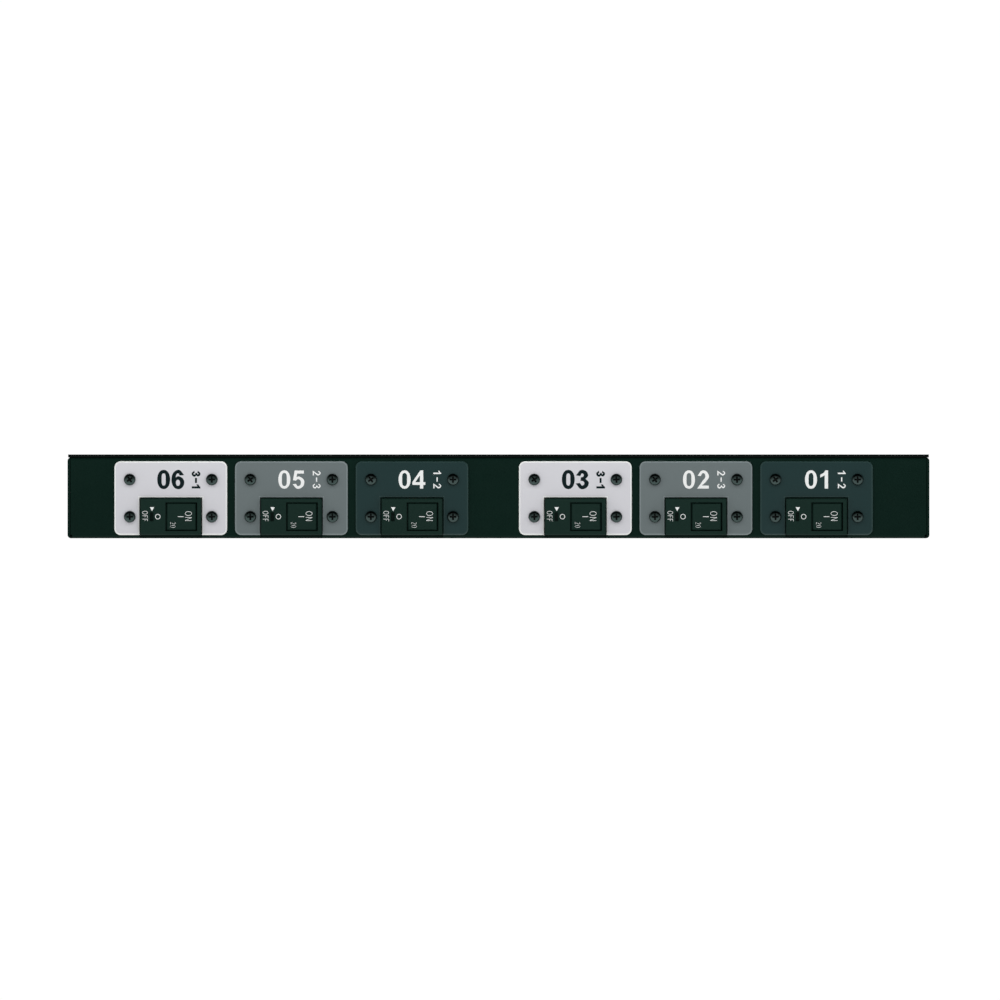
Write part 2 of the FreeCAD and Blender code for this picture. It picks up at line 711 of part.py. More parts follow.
def outlet(number_in_row):
    """A panel outlet: flange, body and a core inside a groove for the plug's shroud."""
    body = new_body(f"outlet_{number_in_row}")
    flange = sketch_on(body, "XZ_Plane")
    centred(flange, "0", "0", "outlet_flange_width", "outlet_flange_height")
    plate = pad(body, flange, "outlet_flange_thickness", turned=True)
    corners = [
        (f"{i}outlet_flange_width / 2", f"{j}outlet_flange_height / 2") for i in ("", "-") for j in ("", "-")
    ]
    chamfer(body, edges_along(plate.Shape, Y, corners), "outlet_flange_corner")
    shell = sketch_on(body, "XZ_Plane")
    centred(shell, "0", "0", "outlet_body_width", "outlet_body_height")
    pad(body, shell, "outlet_body_depth")

    groove = sketch_on(body, "XZ_Plane", "-outlet_flange_thickness")
    width, height = "outlet_core_width", "outlet_core_height"
    centred(groove, "0", "0", f"{width} + 2 * outlet_groove", f"{height} + 2 * outlet_groove")
    centred(groove, "0", "0", width, height)
    ring = pocket(body, groove, "outlet_groove_depth", turned=True)
    core = [(f"{i}outlet_core_width / 2", f"{j}outlet_core_height / 2") for i in ("", "-") for j in ("", "-")]
    chamfer(body, edges_along(ring.Shape, Y, core), "outlet_core_corner")

    slots = sketch_on(body, "XZ_Plane", "-outlet_flange_thickness")
    for x, z in outlet_pins():
        centred(slots, x, z, "outlet_slot_width", "outlet_slot_height")
    pocket(body, slots, "outlet_flange_thickness + outlet_body_depth", turned=True)
    place(body, ROW[number_in_row], REAR, MIDDLE)


def outlet_pins():
    """Line, neutral and earth slots, from the outlet's middle."""
    return [
        ("-outlet_pin_spacing / 2", "-outlet_pin_rise / 2"),
        ("outlet_pin_spacing / 2", "-outlet_pin_rise / 2"),
        ("0", "outlet_pin_rise / 2"),
    ]


def outlet_contacts():
    """Eighteen blades, each lying on the lower side of its slot and ending in a tail behind the body."""
    start = "case_depth / 2 + outlet_flange_thickness - contact_inset"
    length = number(f"{start} - ({CONTACT_END})")
    blade = Part.makeBox(number("contact_width"), length, number("contact_thickness"))
    places = [
        (f"{x} + {dx} - contact_width / 2", CONTACT_END, f"{MIDDLE} + {dz} - outlet_slot_height / 2")
        for x in ROW.values()
        for dx, dz in outlet_pins()
    ]
    group("outlet_contacts", blade, places)


def load_wires():
    """Twelve straight wires from the poles' load tabs to the outlets, with a crimp at each end."""
    tail_top = f"{MIDDLE} - outlet_pin_rise / 2 - outlet_slot_height / 2 + contact_thickness"
    crimp = Part.makeBox(number("crimp_width"), number("crimp_length"), number("crimp_height"))
    turn_down = FreeCAD.Rotation(FreeCAD.Vector(1, 0, 0), -90)
    wires = []
    for x in ROW.values():
        for height, sign in ((UPPER_POLE, "-"), ("pole_height", "+")):
            start = (f"{x} - tab_offset", TAB_END, f"{height} + tab_thickness / 2")
            end = (f"{x} {sign} outlet_pin_spacing / 2", CONTACT_END, tail_top)
            near, far = [FreeCAD.Vector(*(number(text) for text in spot)) for spot in (start, end)]
            middle = FreeCAD.Vector(0, 0, number("crimp_height / 2"))
            section = prism_outline(WIRE_SIDES, "wire_diameter")
            section.Placement = FreeCAD.Placement(near + middle, turn_down)
            wire = section.extrude(far - near)
            corner = FreeCAD.Vector(-number("crimp_width / 2"), 0, 0)
            lap = FreeCAD.Vector(0, number("crimp_length"), 0)
            wires.append(wire.fuse([crimp.translated(near + corner - lap), crimp.translated(far + corner)]))
    item = doc.addObject("Part::Feature", "load_wires")
    item.Shape = Part.makeCompound(wires)
    node(item, "load_wires")


def earth():
    """A strip along the outlets' earth tails, dipping to the floor below the gland, with stud and nut."""
    body = new_body("earth_strip")
    back = CONTACT_END
    tail = f"{MIDDLE} + outlet_pin_rise / 2 - outlet_slot_height / 2 + contact_thickness / 2"
    low, high = f"{tail} - earth_height / 2", f"{tail} + earth_height / 2"
    left_end = f"{ROW[6]} - contact_width / 2"
    right_end = f"{ROW[1]} + contact_width / 2"
    left, right = "row_offset - earth_dip_width / 2", "row_offset + earth_dip_width / 2"
    floor = "sheet_thickness"
    strip = sketch_on(body, "XZ_Plane", f"-({back})")
    outline(
        strip,
        [
            (left_end, low),
            (f"{left} - earth_height", low),
            (f"{left} - earth_height", floor),
            (f"{right} + earth_height", floor),
            (f"{right} + earth_height", low),
            (right_end, low),
            (right_end, high),
            (right, high),
            (right, f"{floor} + earth_height"),
            (left, f"{floor} + earth_height"),
            (left, high),
            (left_end, high),
        ],
    )
    pad(body, strip, "earth_thickness")
    foot = sketch_on(body, "XY_Plane", floor)
    stud_y = f"{EARTH_FRONT} + earth_foot_length / 2"
    half_foot = "earth_foot_width / 2"
    rectangle(foot, f"row_offset - {half_foot}", f"row_offset + {half_foot}", EARTH_FRONT, back)
    pad(body, foot, "earth_thickness")
    hole = sketch_on(body, "XY_Plane", f"{floor} + earth_thickness")
    stud_hole = "earth_stud_diameter + 2 * earth_stud_clearance"
    centred(hole, "row_offset", stud_y, stud_hole, stud_hole)
    pocket(body, hole, "earth_thickness")

    stud = doc.addObject("Part::Prism", "earth_stud")
    stud.Polygon = STUD_SIDES
    stud.setExpression("Circumradius", tied("earth_stud_diameter / 2"))
    stud.setExpression("Height", tied("earth_stud_length"))
    place(stud, "row_offset", stud_y, floor)
    node(stud, "earth_stud")

    nut = new_body("earth_nut")
    hexagon = sketch_on(nut, "XY_Plane")
    outline(hexagon, hexagon_corners("earth_nut_flats"))
    pad(nut, hexagon, "earth_nut_height")
    thread = sketch_on(nut, "XY_Plane", "earth_nut_height")
    outline(thread, regular_corners(STUD_SIDES, "earth_stud_diameter + 2 * insert_clearance"))
    pocket(nut, thread, "earth_nut_height")
    place(nut, "row_offset", stud_y, f"{floor} + earth_thickness")


def hexagon_corners(flats):
    """Six corners with two flats level, one corner pointing along each side."""
    far, near, rise = f"{flats} / sqrt(3)", f"{flats} / sqrt(12)", f"{flats} / 2"
    half = [(near, f"-{rise}"), (far, "0"), (near, rise)]
    return half + mirrored(half)


def regular_corners(sides, diameter):
    """Corners of a regular outline on a circle."""
    turns = [360 * i / sides for i in range(sides)]
    return [(f"({diameter}) / 2 * cos({turn})", f"({diameter}) / 2 * sin({turn})") for turn in turns]


def cable_gland():
    """Gland body through the rear wall, lock nut inside, cap nut and seal outside."""
    body = new_body("gland_body")
    flange = sketch_on(body, "XZ_Plane")
    outline(flange, hexagon_corners("gland_flats"))
    pad(body, flange, "gland_flange", turned=True)
    thread = sketch_on(body, "XZ_Plane")
    outline(thread, regular_corners(THREAD_SIDES, "gland_thread"))
    pad(body, thread, "gland_thread_length")
    bore = sketch_on(body, "XZ_Plane", "-gland_flange")
    circle(bore, "0", "0", "gland_bore")
    pocket(body, bore, "gland_flange + gland_thread_length", turned=True)
    place(body, "row_offset", REAR, MIDDLE)

    lock_nut = new_body("gland_lock_nut")
    hexagon = sketch_on(lock_nut, "XZ_Plane", "sheet_thickness")
    outline(hexagon, hexagon_corners("gland_flats"))
    outline(hexagon, regular_corners(THREAD_SIDES, "gland_thread + 2 * insert_clearance"))
    pad(lock_nut, hexagon, "gland_nut_height")
    place(lock_nut, "row_offset", REAR, MIDDLE)

    cap = new_body("gland_cap_nut")
    grip = sketch_on(cap, "XZ_Plane", "-gland_flange")
    outline(grip, hexagon_corners("gland_flats"))
    pad(cap, grip, "gland_cap_length", turned=True)
    hollow = sketch_on(cap, "XZ_Plane", "-gland_flange")
    circle(hollow, "0", "0", "gland_seal_outside + 2 * insert_clearance")
    pocket(cap, hollow, "gland_cap_length")
    place(cap, "row_offset", REAR, MIDDLE)

    seal = new_body("gland_seal")
    ring = sketch_on(seal, "XZ_Plane", "-gland_flange")
    circle(ring, "0", "0", "gland_seal_outside")
    circle(ring, "0", "0", "gland_seal_bore")
    pad(seal, ring, "gland_cap_length", turned=True)
    place(seal, "row_offset", REAR, MIDDLE)


chassis_base()
top_cover()
cover_screws()
for breaker in ROW:
    branch_plate(breaker)
    rocker_pole(breaker)
    blank_pole(breaker)
    rocker(breaker)
    outlet(breaker)
rocker_pins()
breaker_screws()
terminal_tabs()
for bar in (1, 2, 3):
    bus_bar(bar)
terminal_block()
outlet_contacts()
load_wires()
earth()
cable_gland()
doc.recompute()

for item in doc.Objects:
    if {"Invalid", "Error"} & set(item.State):
        raise ValueError(f"{item.Label} failed: {item.State}")
os.makedirs("parts", exist_ok=True)
for item in nodes:
    if item.Shape.isNull() or not item.Shape.isValid():
        raise ValueError(f"{item.Label} has no valid shape")
for item in nodes:
    item.Shape.exportStep(f"parts/{item.Label}.step")
print(len(nodes), "sub-parts,", sum(len(item.Shape.Solids) for item in nodes), "solids")
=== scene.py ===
# %% [markdown]
# # Rack power distribution unit
# A low steel case for a server rack, with six guarded breakers in coloured plates. The CAD frame gives
# every piece its true size and place in metres. This lesson dresses that frame: finishes for each
# material, turned screws, softened edges, printed marks, a studio and a camera.

# %% Load the frame
import bmesh
import bpy
import json
import math
from mathutils import Matrix, Vector


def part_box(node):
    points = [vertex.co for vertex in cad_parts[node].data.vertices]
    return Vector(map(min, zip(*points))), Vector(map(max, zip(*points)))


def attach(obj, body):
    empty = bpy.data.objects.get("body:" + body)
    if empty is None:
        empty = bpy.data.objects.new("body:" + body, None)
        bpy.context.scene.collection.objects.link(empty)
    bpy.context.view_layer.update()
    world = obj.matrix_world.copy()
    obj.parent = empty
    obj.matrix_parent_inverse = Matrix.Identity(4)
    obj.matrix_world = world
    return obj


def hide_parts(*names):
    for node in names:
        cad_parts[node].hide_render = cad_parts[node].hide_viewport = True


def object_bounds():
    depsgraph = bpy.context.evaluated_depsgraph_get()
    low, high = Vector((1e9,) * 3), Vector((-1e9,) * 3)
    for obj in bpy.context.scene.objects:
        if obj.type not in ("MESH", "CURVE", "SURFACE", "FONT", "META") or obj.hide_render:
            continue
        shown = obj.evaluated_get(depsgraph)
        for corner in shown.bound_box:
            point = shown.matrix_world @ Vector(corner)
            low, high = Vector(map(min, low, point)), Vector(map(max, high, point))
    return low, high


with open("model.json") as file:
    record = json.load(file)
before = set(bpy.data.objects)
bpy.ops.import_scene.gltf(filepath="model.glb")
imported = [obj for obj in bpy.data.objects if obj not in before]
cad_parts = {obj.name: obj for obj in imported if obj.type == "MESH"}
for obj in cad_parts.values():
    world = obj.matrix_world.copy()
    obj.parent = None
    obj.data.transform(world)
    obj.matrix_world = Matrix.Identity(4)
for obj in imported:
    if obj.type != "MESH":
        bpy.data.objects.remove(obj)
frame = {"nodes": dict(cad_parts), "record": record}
cad_low, cad_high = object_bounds()
nodes = frame["nodes"]
MM = 0.001
print("nodes", len(nodes), "box in mm", [round(side / MM, 1) for side in cad_high - cad_low])

# %% [markdown]
# ## Shared effects
# A painted or moulded surface is never one flat colour. Three effects come back in nearly every finish:
# a slow drift of colour, a slow drift of gloss and a fine grain that tilts the light. Each is a node
# group, built once, so that a finish only chooses its own sizes. All of them read Object coordinates,
# which stay with the piece when it moves.

# %% A group with named sockets and a noise on Object coordinates
def noise_group(name, inputs, output, kind):
    group = bpy.data.node_groups.new(name, "ShaderNodeTree")
    for label, socket_kind, value in inputs:
        group.interface.new_socket(label, in_out="INPUT", socket_type=socket_kind).default_value = value
    group.interface.new_socket(output, in_out="OUTPUT", socket_type=kind)
    entry = group.nodes.new("NodeGroupInput")
    leave = group.nodes.new("NodeGroupOutput")
    place = group.nodes.new("ShaderNodeTexCoord")
    stretch = group.nodes.new("ShaderNodeMapping")
    noise = group.nodes.new("ShaderNodeTexNoise")
    group.links.new(place.outputs["Object"], stretch.inputs["Vector"])
    group.links.new(entry.outputs["Stretch"], stretch.inputs["Scale"])
    group.links.new(stretch.outputs["Vector"], noise.inputs["Vector"])
    group.links.new(entry.outputs["Density"], noise.inputs["Scale"])
    return group, entry, noise, leave


def math_node(group, operation, first, second):
    """A Math node whose two inputs are sockets or plain numbers."""
    step = group.nodes.new("ShaderNodeMath")
    step.operation = operation
    for socket, value in zip(step.inputs, (first, second)):
        if isinstance(value, (int, float)):
            socket.default_value = value
        else:
            group.links.new(value, socket)
    return step.outputs["Value"]


EVEN = (1.0, 1.0, 1.0)
SPREAD = [("Stretch", "NodeSocketVector", EVEN), ("Density", "NodeSocketFloat", 60.0),
          ("Amount", "NodeSocketFloat", 0.2)]


def around_one(group, entry, noise):
    """The noise as a factor that swings around one by the amount."""
    swing = math_node(group, "SUBTRACT", noise.outputs["Fac"], 0.5)
    scaled = math_node(group, "MULTIPLY", swing, entry.outputs["Amount"])
    return math_node(group, "ADD", scaled, 1.0)


# %% Colour drift, gloss drift and grain
DRIFT_DETAIL = 4.0
GRAIN_DETAIL = 2.0


def colour_drift_group():
    tint = [("Colour", "NodeSocketColor", (0.5, 0.5, 0.5, 1.0))]
    group, entry, noise, leave = noise_group("colour drift", tint + SPREAD, "Colour", "NodeSocketColor")
    noise.inputs["Detail"].default_value = DRIFT_DETAIL
    scaled = group.nodes.new("ShaderNodeVectorMath")
    scaled.operation = "SCALE"
    group.links.new(entry.outputs["Colour"], scaled.inputs["Vector"])
    group.links.new(around_one(group, entry, noise), scaled.inputs["Scale"])
    group.links.new(scaled.outputs["Vector"], leave.inputs["Colour"])
    return group


def gloss_drift_group():
    level = [("Roughness", "NodeSocketFloat", 0.5)]
    group, entry, noise, leave = noise_group("gloss drift", level + SPREAD, "Roughness", "NodeSocketFloat")
    factor = around_one(group, entry, noise)
    drifted = math_node(group, "MULTIPLY", entry.outputs["Roughness"], factor)
    group.links.new(drifted, leave.inputs["Roughness"])
    return group


def grain_group():
    group, entry, noise, leave = noise_group("grain", SPREAD, "Height", "NodeSocketFloat")
    noise.inputs["Detail"].default_value = GRAIN_DETAIL
    raised = math_node(group, "MULTIPLY", noise.outputs["Fac"], entry.outputs["Amount"])
    group.links.new(raised, leave.inputs["Height"])
    return group


COLOUR_DRIFT = colour_drift_group()
GLOSS_DRIFT = gloss_drift_group()
GRAIN = grain_group()
print("effects", [group.name for group in bpy.data.node_groups])

# %% [markdown]
# ## Finishes
# Powder coat has a pebbled skin of about half a millimetre, moulded plastic a finer spark-eroded grain,
# plate paint almost none, and metal carries lines from rolling or turning, which is the same noise
# stretched along one axis. The colours are given in sRGB and turned into linear values. Dark paint gets
# a low specular level, because the white floor would otherwise turn its deep green black into grey.

# %% One finish from its colour, gloss and grain
GLOSS_PATCHES = 3
GLOSS_SWING = 2


def linear(*srgb):
    """A linear colour from sRGB values of 0 to 255."""
    parts = [value / 255 for value in srgb]
    curved = [part / 12.92 if part <= 0.04045 else ((part + 0.055) / 1.055) ** 2.4 for part in parts]
    return curved + [1.0]


def add_effect(tree, group, **values):
    effect = tree.nodes.new("ShaderNodeGroup")
    effect.node_tree = group
    for label, value in values.items():
        effect.inputs[label].default_value = value
    return effect.outputs[0]


def finish(name, colour, roughness, grain_size, grain_depth, specular=0.5, metallic=0.0, drift=0.15,
           drift_size=25.0, lines=EVEN):
    """A material; grain and drift sizes are in millimetres, lines stretch the grain."""
    material = bpy.data.materials.new(name)
    material.use_nodes = True
    tree = material.node_tree
    shader = tree.nodes["Principled BSDF"]
    shader.inputs["Metallic"].default_value = metallic
    shader.inputs["Specular IOR Level"].default_value = specular
    slow = 1 / (drift_size * MM)
    fine = 1 / (grain_size * MM)
    tone = add_effect(tree, COLOUR_DRIFT, Colour=colour, Density=slow, Amount=drift)
    gloss = add_effect(tree, GLOSS_DRIFT, Roughness=roughness, Density=GLOSS_PATCHES * slow,
                       Amount=GLOSS_SWING * drift)
    height = add_effect(tree, GRAIN, Stretch=lines, Density=fine, Amount=1.0)
    bump = tree.nodes.new("ShaderNodeBump")
    bump.inputs["Distance"].default_value = grain_depth * MM
    tree.links.new(tone, shader.inputs["Base Color"])
    tree.links.new(gloss, shader.inputs["Roughness"])
    tree.links.new(height, bump.inputs["Height"])
    tree.links.new(bump.outputs["Normal"], shader.inputs["Normal"])
    return material


# %% The finishes of the case, plates and breakers
PAINTED_PLATE = {"roughness": 0.45, "grain_size": 0.9, "grain_depth": 0.004}
FINISHES = {
    "case_paint": finish("powder coat", linear(10, 31, 25), 0.6, 0.4, 0.1, specular=0.05, drift=0.25),
    "plate_white": finish("white plate paint", linear(216, 216, 221), specular=0.25, drift=0.03,
                          **PAINTED_PLATE),
    "plate_grey": finish("grey plate paint", linear(107, 117, 118), specular=0.2, drift=0.05,
                         **PAINTED_PLATE),
    "plate_dark": finish("dark plate paint", linear(33, 54, 54), specular=0.1, drift=0.08,
                         **PAINTED_PLATE),
    "breaker_plastic": finish("breaker moulding", linear(21, 42, 36), 0.55, 0.25, 0.012, specular=0.08),
    "rocker_plastic": finish("rocker moulding", linear(21, 42, 36), 0.5, 0.2, 0.01, specular=0.08),
    "black_screws": finish("blackened screws", linear(56, 68, 66), 0.28, 0.3, 0.004, metallic=1.0,
                           drift=0.3, drift_size=4.0),
}
# The darker finish of the screw recess is painted shade.
RECESS_PAINTED_SHADE = finish("recess painted shade", linear(8, 14, 13), 0.6, 0.3, 0.004, specular=0.1)
print("finishes", sorted(FINISHES))

# %% The finishes inside and behind
ALONG_X = (0.04, 1.0, 1.0)
ALONG_Y = (1.0, 0.04, 1.0)
FINISHES.update({
    "steel": finish("zinc plate", linear(178, 182, 186), 0.34, 0.35, 0.004, metallic=1.0, lines=ALONG_X),
    "copper": finish("rolled copper", linear(206, 128, 92), 0.3, 0.3, 0.004, metallic=1.0, drift=0.3,
                     lines=ALONG_X),
    "brass": finish("stamped brass", linear(204, 170, 98), 0.3, 0.3, 0.004, metallic=1.0, drift=0.25,
                    lines=ALONG_Y),
    "terminal_plastic": finish("terminal moulding", linear(150, 150, 142), 0.5, 0.3, 0.012),
    "wire_insulation": finish("wire insulation", linear(30, 30, 32), 0.4, 0.8, 0.01, specular=0.3),
    "outlet_plastic": finish("outlet moulding", linear(26, 28, 29), 0.48, 0.25, 0.012, specular=0.25),
    "gland_plastic": finish("gland moulding", linear(34, 36, 37), 0.45, 0.35, 0.02, specular=0.3),
    "seal_rubber": finish("seal rubber", linear(22, 22, 22), 0.75, 0.4, 0.02, specular=0.2),
})
print("finishes in all", len(FINISHES))

# %% The finishes of rims, prints and single nodes
PAINTED_RIM = {"roughness": 0.4, "grain_size": 0.9, "grain_depth": 0.004}
PRINTED_INK = {"roughness": 0.6, "grain_size": 0.15, "grain_depth": 0.004, "drift_size": 3.0}
# The rims' paler colours are painted highlights along the plates' bevelled edges.
PAINTED_HIGHLIGHT_RIMS = {
    "plate_white": finish("white plate rim, painted highlight", linear(250, 252, 250), specular=0.3, drift=0.03,
                          **PAINTED_RIM),
    "plate_grey": finish("grey plate rim, painted highlight", linear(128, 139, 140), specular=0.3, drift=0.05,
                         **PAINTED_RIM),
    "plate_dark": finish("dark plate rim, painted highlight", linear(40, 62, 60), specular=0.2, drift=0.08,
                         **PAINTED_RIM),
}
OWN_FINISH = {
    # The cover's paint is a darker copy of the case's powder coat: painted shade, so that the lid's front
    # edge shows as a dark band.
    "top_cover": finish("shaded cover powder coat", linear(4, 11, 9), 0.5, 0.4, 0.1, specular=0.062, drift=0.3),
    "rocker_pins": finish("blackened pins", linear(16, 28, 25), 0.5, 0.2, 0.004, specular=0.1),
}
INKS = {
    "light": finish("light ink", linear(246, 248, 247), specular=0.2, drift=0.06, **PRINTED_INK),
    "dark": finish("dark ink", linear(8, 25, 28), specular=0.1, drift=0.1, **PRINTED_INK),
}
slot_of = {row["node"]: row["material_slot"] for row in frame["record"]["subparts"]}
for node_name, node in nodes.items():
    for place in node.material_slots:
        place.material = OWN_FINISH.get(node_name, FINISHES[slot_of[node_name]])
print("dressed nodes", len(slot_of))

# %% [markdown]
# ## Finishing a piece
# Every new piece ends the same way: doubles merged, faces turned outwards, its object at the origin, a
# finish, and then the calls that tie it to the frame. Round stretches are shaded smooth, and true edges
# stay sharp by the angle between their faces. A broad flat face is shaded flat, so that the rounding
# beside it doesn't bend its light.

# %% From a bmesh to a piece that rides on a body
CREASE = math.radians(32)
MERGE = 1e-7
BROAD = 20 * MM ** 2


def finished(name, shape, materials, body, slot, stands_for=()):
    bmesh.ops.remove_doubles(shape, verts=shape.verts, dist=MERGE)
    bmesh.ops.recalc_face_normals(shape, faces=shape.faces)
    for face in shape.faces:
        face.smooth = face.calc_area() < BROAD
    mesh = bpy.data.meshes.new(name)
    shape.to_mesh(mesh)
    shape.free()
    for material in materials:
        mesh.materials.append(material)
    mesh.set_sharp_from_angle(angle=CREASE)
    piece = bpy.data.objects.new(name, mesh)
    bpy.context.scene.collection.objects.link(piece)
    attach(piece, body)
    if stands_for:
        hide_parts(*stands_for)
    return piece


# %% [markdown]
# ## Softened edges
# A punched plate or a moulded flange has no knife edge: its rim is rounded and catches a thin line of
# light. The frame's plates, outlets and gland have sharp rims, so each gets a copy of its own mesh,
# cleaned into whole faces, with just those rims bevelled. The plates' rims are also given a paler
# colour, a painted highlight. The screw holes stay sharp under their heads.

# %% A copy of a node with some edges bevelled
FLAT = math.radians(0.5)
NEAR = 0.02 * MM
LOOSE_MERGE = 10 * MERGE
HOLE_SIDE = 3.4 * MM
HEXAGON_SIDE = 10 * MM


def whole_faces(node_name):
    shape = bmesh.new()
    shape.from_mesh(nodes[node_name].data)
    bmesh.ops.remove_doubles(shape, verts=shape.verts, dist=LOOSE_MERGE)
    bmesh.ops.dissolve_limit(shape, angle_limit=FLAT, verts=shape.verts, edges=shape.edges)
    return shape


def rim_edges(shape, level):
    """The sharp edges that lie in the plane of a Y level."""
    return [
        edge for edge in shape.edges
        if len(edge.link_faces) == 2 and edge.calc_face_angle() > CREASE
        and all(abs(corner.co.y - level) < NEAR for corner in edge.verts)
        and abs(edge.calc_length() - HOLE_SIDE) > NEAR
    ]


def hexagon_edges(shape, level):
    """The sides of a hexagon in the plane of a Y level, and the long edges that end at its corners."""
    sides = [edge for edge in rim_edges(shape, level) if edge.calc_length() > HEXAGON_SIDE]
    corners = {corner for edge in sides for corner in edge.verts}
    return [edge for edge in shape.edges
            if corners.intersection(edge.verts) and edge.calc_face_angle() > CREASE]


def softened(node_name, level, width, steps, pick=rim_edges):
    """The node with picked edges rounded to a width in millimetres, and a painted highlight on its rim if
    its slot has one.
    """
    shape = whole_faces(node_name)
    made = bmesh.ops.bevel(shape, geom=pick(shape, level), offset=width * MM, offset_type="OFFSET",
                           affect="EDGES", segments=steps, profile=0.5, material=-1, clamp_overlap=True)
    slot = slot_of[node_name]
    materials = [FINISHES[slot]]
    if slot in PAINTED_HIGHLIGHT_RIMS:
        materials.append(PAINTED_HIGHLIGHT_RIMS[slot])
        # The bevel faces take the paler rim finish, a painted highlight.
        for face in made["faces"]:
            face.material_index = 1
    return finished(f"{node_name}_finished", shape, materials, "case", slot, [node_name])


# %% Plates, outlets and gland
BREAKERS = range(1, 7)
for n in BREAKERS:
    plate = f"branch_plate_{n}"
    softened(plate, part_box(plate)[0].y, width=0.7, steps=4)
    outlet = f"outlet_{n}"
    softened(outlet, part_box(outlet)[1].y, width=0.4, steps=3)
nut_base, nut_end = [corner.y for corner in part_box("gland_cap_nut")]
softened("gland_body", nut_base, width=0.6, steps=3, pick=hexagon_edges)
softened("gland_cap_nut", nut_end, width=1.8, steps=5, pick=hexagon_edges)

# %% [markdown]
# ## Turned screws
# The breaker screws are blackened pan heads with a cross recess, and the cover's are low flat ones. A
# screw is a turned piece, so a half profile is spun round its axis. The ring at the recess is then pulled
# into a cross, which keeps one closed surface instead of a cut. The recess has a darker finish than the
# polished head: painted shade.

# %% A screw from its half profile
TURNS = 48
RECESS_MOUTH = 1.02
RECESS_FLOOR = 0.8
TINY = 1e-6


def cross_reach(angle, arm, half_width):
    """How far the cross recess reaches from the axis in a direction."""
    folded = abs((angle + math.pi / 4) % (math.pi / 2) - math.pi / 4)
    across = half_width / max(math.sin(folded), TINY)
    return min(arm / math.cos(folded), across)


def screw(shank, length, dome, arm, half_width, depth):
    """One screw along +Z with its head's underside at zero; dome is the head's half profile."""
    top = dome[-1][1]
    recess = [(arm * RECESS_MOUTH, top), (arm * RECESS_FLOOR, top - depth), (0.0, top - depth)]
    profile = [(0.0, -length), (shank, -length), (shank, 0.0)] + dome + recess
    shape = bmesh.new()
    points = [shape.verts.new((radius * MM, 0, height * MM)) for radius, height in profile]
    lines = [shape.edges.new(pair) for pair in zip(points, points[1:])]
    bmesh.ops.spin(shape, geom=points + lines, cent=(0, 0, 0), axis=(0, 0, 1), angle=math.tau, steps=TURNS,
                   use_merge=True)
    bmesh.ops.remove_doubles(shape, verts=shape.verts, dist=MERGE)
    for radius, height in recess[:2]:
        ring = [
            corner for corner in shape.verts
            if abs(corner.co.xy.length - radius * MM) < NEAR and abs(corner.co.z - height * MM) < NEAR
        ]
        for corner in ring:
            reach = cross_reach(math.atan2(corner.co.y, corner.co.x), arm, half_width) * radius / arm
            corner.co.xy = corner.co.xy.normalized() * reach * MM
    # Faces inside the cross recess take the second material, the painted shade.
    for face in shape.faces:
        inside = all(corner.co.xy.length < recess[0][0] * MM + NEAR for corner in face.verts)
        face.material_index = int(inside and 0 < face.calc_center_median().z < top * MM - NEAR)
    mesh = bpy.data.meshes.new("screw")
    shape.to_mesh(mesh)
    shape.free()
    return mesh


PAN_HEAD = [(3.0, 0.0), (3.0, 0.5), (2.92, 0.95), (2.68, 1.35), (2.3, 1.68), (1.95, 1.86),
            (1.75, 1.92)]
FLAT_HEAD = [(2.8, 0.0), (2.8, 0.7), (2.7, 0.9), (2.45, 1.0), (1.75, 1.0)]
pan_screw = screw(shank=1.5, length=8.0, dome=PAN_HEAD, arm=1.65, half_width=0.46, depth=1.1)
cover_screw = screw(shank=1.5, length=6.0, dome=FLAT_HEAD, arm=1.5, half_width=0.4, depth=0.7)
print("triangles of a screw", sum(len(face.vertices) - 2 for face in pan_screw.polygons))

# %% Twenty-four breaker screws and four cover screws
FACING = Matrix.Rotation(math.pi / 2, 4, "X")
UPPER_LEFT_TURN = math.radians(35)
STRAY_DEGREES = 4
SCREW_SPACING = 41.9 * MM
POLE_PITCH = 19.0 * MM
COVER_INSET = 0.3 * MM
COVER_SCREW_INSET = Vector((6.0, 20.0, 1.0)) * MM
plate_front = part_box("branch_plate_1")[0].y
centres = {n: sum(corner.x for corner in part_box(f"branch_plate_{n}")) / 2 for n in BREAKERS}
lower_level = sum(corner.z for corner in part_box("rocker_1")) / 2
upper_level = lower_level + POLE_PITCH


def all_screws(mesh, places):
    """A bmesh with a copy of the screw at each place; a place is a matrix."""
    shape = bmesh.new()
    for place in places:
        copy = mesh.copy()
        copy.transform(place)
        shape.from_mesh(copy)
    return shape


def breaker_screw_places():
    for n in BREAKERS:
        for side in (-1, 1):
            for level in (lower_level, upper_level):
                upper_left = side < 0 and level > lower_level
                turn = UPPER_LEFT_TURN if upper_left else math.radians(n % STRAY_DEGREES)
                place = Matrix.Translation((centres[n] + side * SCREW_SPACING / 2, plate_front, level))
                yield place @ FACING @ Matrix.Rotation(turn, 4, "Z")


def cover_screw_places():
    low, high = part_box("chassis_base")
    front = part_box("top_cover")[0].y - COVER_INSET
    under_head = cad_high.z - COVER_SCREW_INSET.z
    for x in (low.x + COVER_SCREW_INSET.x, high.x - COVER_SCREW_INSET.x):
        for y in (front + COVER_SCREW_INSET.y, -front - COVER_SCREW_INSET.y):
            yield Matrix.Translation((x, y, under_head)) @ Matrix.Rotation(x + y, 4, "Z")


for screws, mesh, places in (("breaker_screws", pan_screw, breaker_screw_places()),
                             ("cover_screws", cover_screw, cover_screw_places())):
    slot = slot_of[screws]
    materials = [FINISHES[slot], RECESS_PAINTED_SHADE]
    finished(f"{screws}_finished", all_screws(mesh, places), materials, "case", slot, [screws])
print("screws at", round(plate_front / MM, 2), "mm, levels", round(lower_level / MM, 2))

